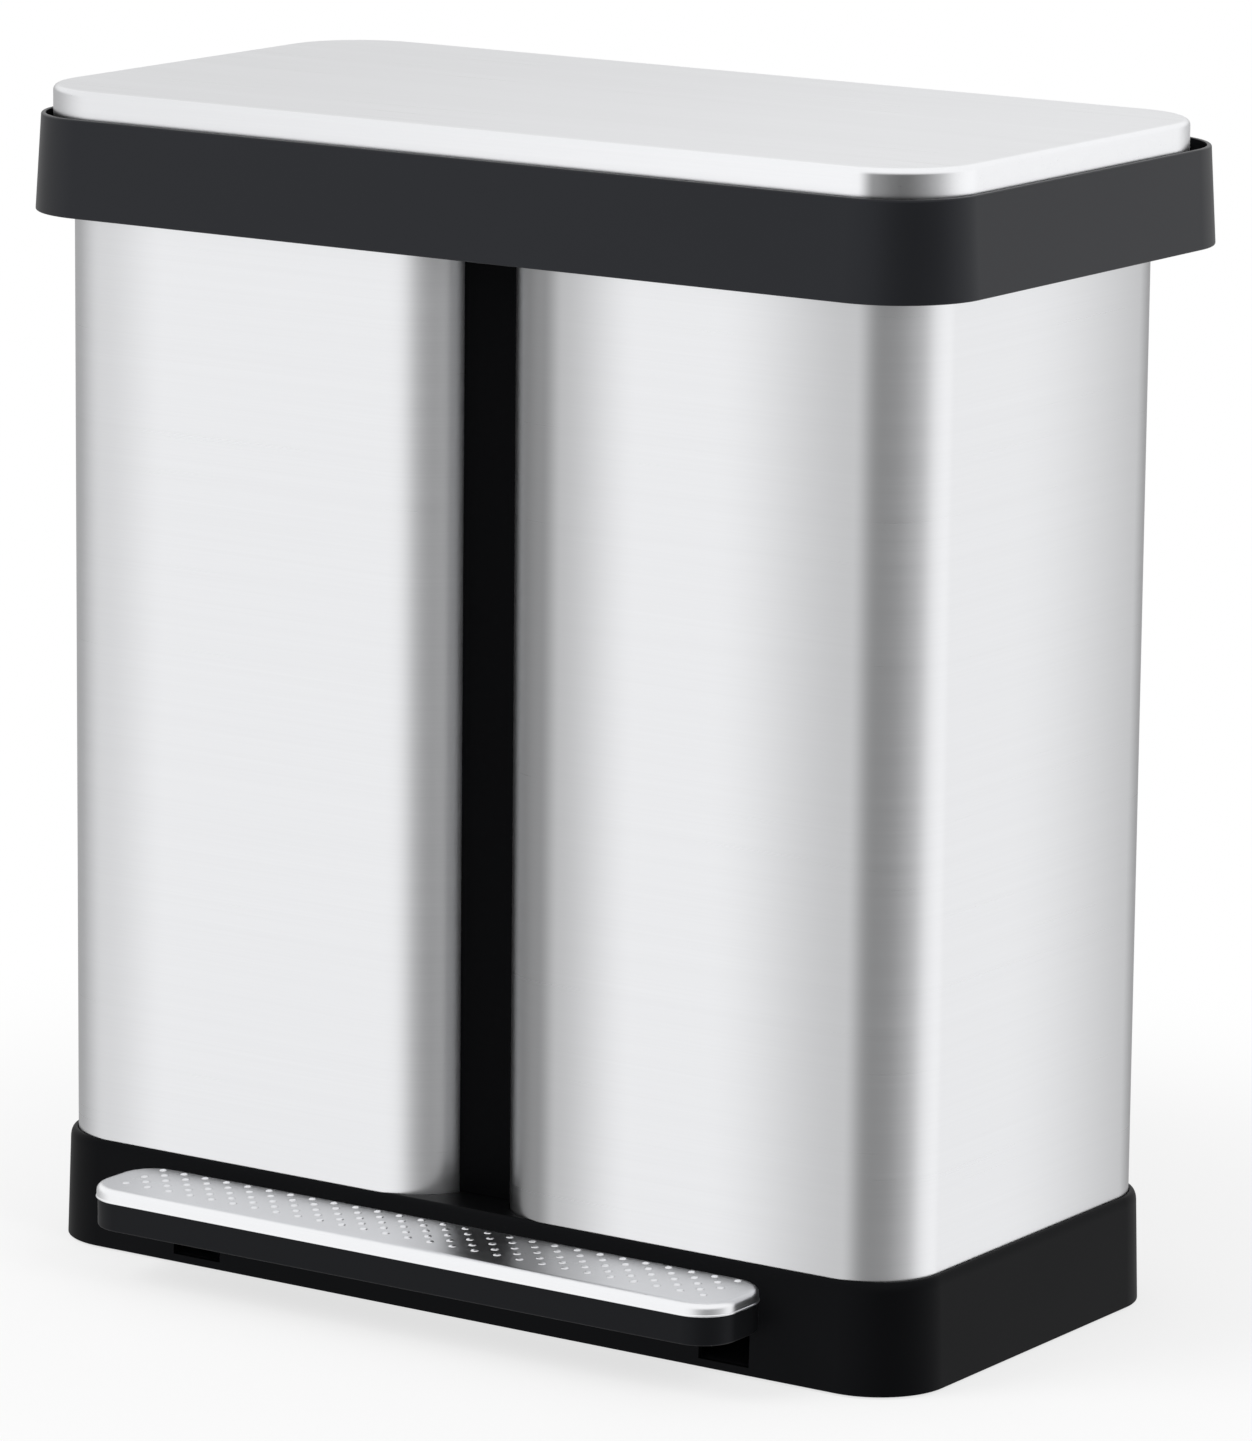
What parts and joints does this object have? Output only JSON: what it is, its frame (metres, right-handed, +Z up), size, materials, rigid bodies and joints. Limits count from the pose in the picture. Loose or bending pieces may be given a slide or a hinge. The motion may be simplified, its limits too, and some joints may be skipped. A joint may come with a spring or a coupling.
{
  "type": "double recycling bin",
  "caption": "Free-standing pedal bin with steel columns side by side, a black base and collar, one wide lid that a front treadle lifts, and lift-out inner buckets.",
  "frame": {"origin": "on the floor under the centre of the whole outline, which reaches from the treadle's front edge to the collar's back edge", "axes": "+Z up, the treadle and front face -Y, +X is the bin's right side as seen from the front"},
  "size_m": [0.5986, 0.376, 0.6505],
  "materials": {
    "brushed_steel": "satin, fine brushed grain",
    "black_plastic": "satin moulded",
    "grey_plastic": "matte moulded",
    "zinc_steel": "bright zinc plate",
    "rubber": "matte"
  },
  "bodies": {
    "cabinet": {"base_tray": "black_plastic", "base_plate": "black_plastic", "foot_front_left": "rubber", "foot_front_right": "rubber", "foot_rear_left": "rubber", "foot_rear_right": "rubber", "base_screw_1": "zinc_steel", "base_screw_2": "zinc_steel", "base_screw_3": "zinc_steel", "base_screw_4": "zinc_steel", "base_screw_5": "zinc_steel", "base_screw_6": "zinc_steel", "steel_shell_left": "brushed_steel", "steel_shell_right": "brushed_steel", "front_spine": "black_plastic", "rear_spine": "black_plastic", "collar": "black_plastic", "lid_bumper_left": "rubber", "lid_bumper_right": "rubber", "hinge_pin_left": "zinc_steel", "hinge_pin_right": "zinc_steel", "shaft_bracket_left": "grey_plastic", "shaft_bracket_right": "grey_plastic", "damper_cylinder": "zinc_steel", "damper_bracket": "grey_plastic"},
    "lid": {"lid_skin": "brushed_steel", "lid_liner": "black_plastic", "crank_pin": "zinc_steel"},
    "lift_link": {"lift_rod": "zinc_steel", "damper_piston": "zinc_steel", "damper_arm": "grey_plastic"},
    "treadle": {"treadle_steel": "brushed_steel", "treadle_body": "black_plastic", "treadle_arm_left": "zinc_steel", "treadle_arm_right": "zinc_steel", "treadle_screw_left_1": "zinc_steel", "treadle_screw_left_2": "zinc_steel", "treadle_screw_right_1": "zinc_steel", "treadle_screw_right_2": "zinc_steel", "treadle_shaft": "zinc_steel", "shaft_clip_left": "zinc_steel", "shaft_clip_right": "zinc_steel", "lift_lever": "zinc_steel", "lever_pin": "zinc_steel"},
    "bucket_left": {"bucket_left": "grey_plastic"},
    "bucket_right": {"bucket_right": "grey_plastic"},
    "handle_left": {"bucket_handle_left": "black_plastic"},
    "handle_right": {"bucket_handle_right": "black_plastic"}
  },
  "joints": [
    {"name": "lid_hinge", "type": "hinge", "parent": "cabinet", "child": "lid", "pos_m": [0, 0.15865, 0.633], "axis": [-1, 0, 0], "range_deg": [0, 80]},
    {"name": "rod_slide", "type": "slide", "parent": "cabinet", "child": "lift_link", "axis": [0, 0, 1], "range_m": [0, 0.0378]},
    {"name": "treadle_pivot", "type": "hinge", "parent": "cabinet", "child": "treadle", "pos_m": [0, -0.05149, 0.026], "axis": [1, 0, 0], "range_deg": [0, 11.76]},
    {"name": "bucket_left_lift", "type": "slide", "parent": "cabinet", "child": "bucket_left", "axis": [0, 0, 1], "range_m": [0, 0.02]},
    {"name": "bucket_right_lift", "type": "slide", "parent": "cabinet", "child": "bucket_right", "axis": [0, 0, 1], "range_m": [0, 0.02]},
    {"name": "handle_left_hinge", "type": "hinge", "parent": "bucket_left", "child": "handle_left", "pos_m": [-0.14775, 0.01, 0.5988], "axis": [-1, 0, 0], "range_deg": [0, 8]},
    {"name": "handle_right_hinge", "type": "hinge", "parent": "bucket_right", "child": "handle_right", "pos_m": [0.14775, 0.01, 0.5988], "axis": [-1, 0, 0], "range_deg": [0, 8]}
  ],
  "couplings": [
    {"joint": "rod_slide", "follows": "lid_hinge", "m_per_rad": 0.027058},
    {"joint": "treadle_pivot", "follows": "lid_hinge", "ratio": 0.14695}
  ]
}
